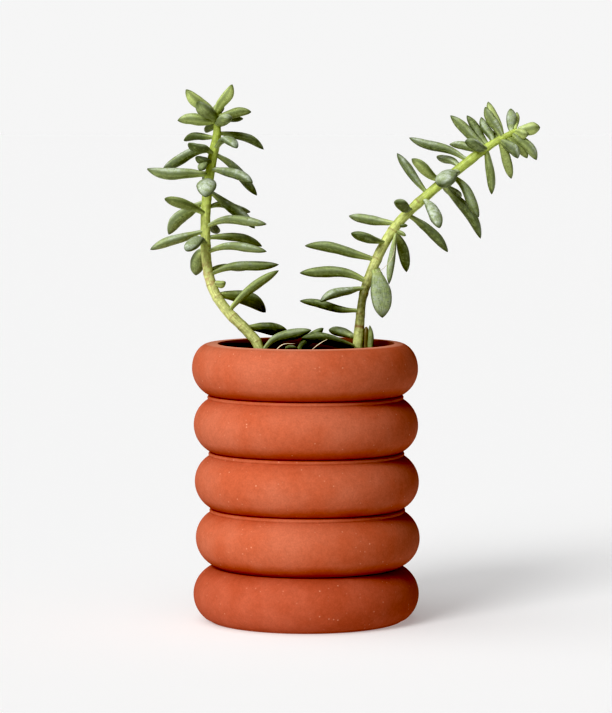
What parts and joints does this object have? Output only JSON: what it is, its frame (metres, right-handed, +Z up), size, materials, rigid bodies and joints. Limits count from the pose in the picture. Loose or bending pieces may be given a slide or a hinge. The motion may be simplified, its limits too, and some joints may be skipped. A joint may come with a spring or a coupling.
{
  "type": "potted succulent",
  "caption": "Trailing blue-green succulent with two long leafy shoots in a round terracotta planter of stacked fat rings, on a matching ring saucer, filled with soil.",
  "frame": {"origin": "centre of the saucer's flat underside, where the part stands", "axes": "+Z up, -Y the front, +X towards the shoot that leans to the right"},
  "size_m": [0.2291, 0.1322, 0.3141],
  "materials": {
    "terracotta_saucer": "matte",
    "terracotta_pot": "matte",
    "soil": "matte",
    "stem": "satin",
    "leaf": "satin",
    "young_leaf": "satin"
  },
  "bodies": {
    "root": {"saucer": "terracotta_saucer", "pot": "terracotta_pot", "soil": "soil", "stem_left": "stem", "stem_right": "stem", "crown_left": "young_leaf", "crown_right": "young_leaf", "shoot_low": "young_leaf", "leaf_left_01": "leaf", "leaf_left_02": "leaf", "leaf_left_03": "leaf", "leaf_left_04": "leaf", "leaf_left_05": "leaf", "leaf_left_06": "leaf", "leaf_left_07": "leaf", "leaf_left_08": "leaf", "leaf_left_09": "leaf", "leaf_left_10": "leaf", "leaf_left_11": "leaf", "leaf_left_12": "leaf", "leaf_left_13": "leaf", "leaf_left_14": "leaf", "leaf_left_15": "leaf", "leaf_left_16": "leaf", "leaf_left_17": "leaf", "leaf_left_18": "leaf", "leaf_left_19": "leaf", "leaf_left_20": "leaf", "leaf_left_21": "leaf", "leaf_left_22": "leaf", "leaf_left_23": "leaf", "leaf_left_24": "leaf", "leaf_left_25": "leaf", "leaf_left_26": "leaf", "leaf_left_27": "leaf", "leaf_right_01": "leaf", "leaf_right_02": "leaf", "leaf_right_03": "leaf", "leaf_right_04": "leaf", "leaf_right_05": "leaf", "leaf_right_06": "leaf", "leaf_right_07": "leaf", "leaf_right_08": "leaf", "leaf_right_09": "leaf", "leaf_right_10": "leaf", "leaf_right_11": "leaf", "leaf_right_12": "leaf", "leaf_right_13": "leaf", "leaf_right_14": "leaf", "leaf_right_15": "leaf", "leaf_right_16": "leaf", "leaf_right_17": "leaf", "leaf_right_18": "leaf", "leaf_right_19": "leaf", "leaf_right_20": "leaf", "leaf_right_21": "leaf", "leaf_low_01": "leaf", "leaf_low_02": "leaf", "leaf_low_03": "leaf", "leaf_low_04": "leaf"}
  },
  "joints": []
}
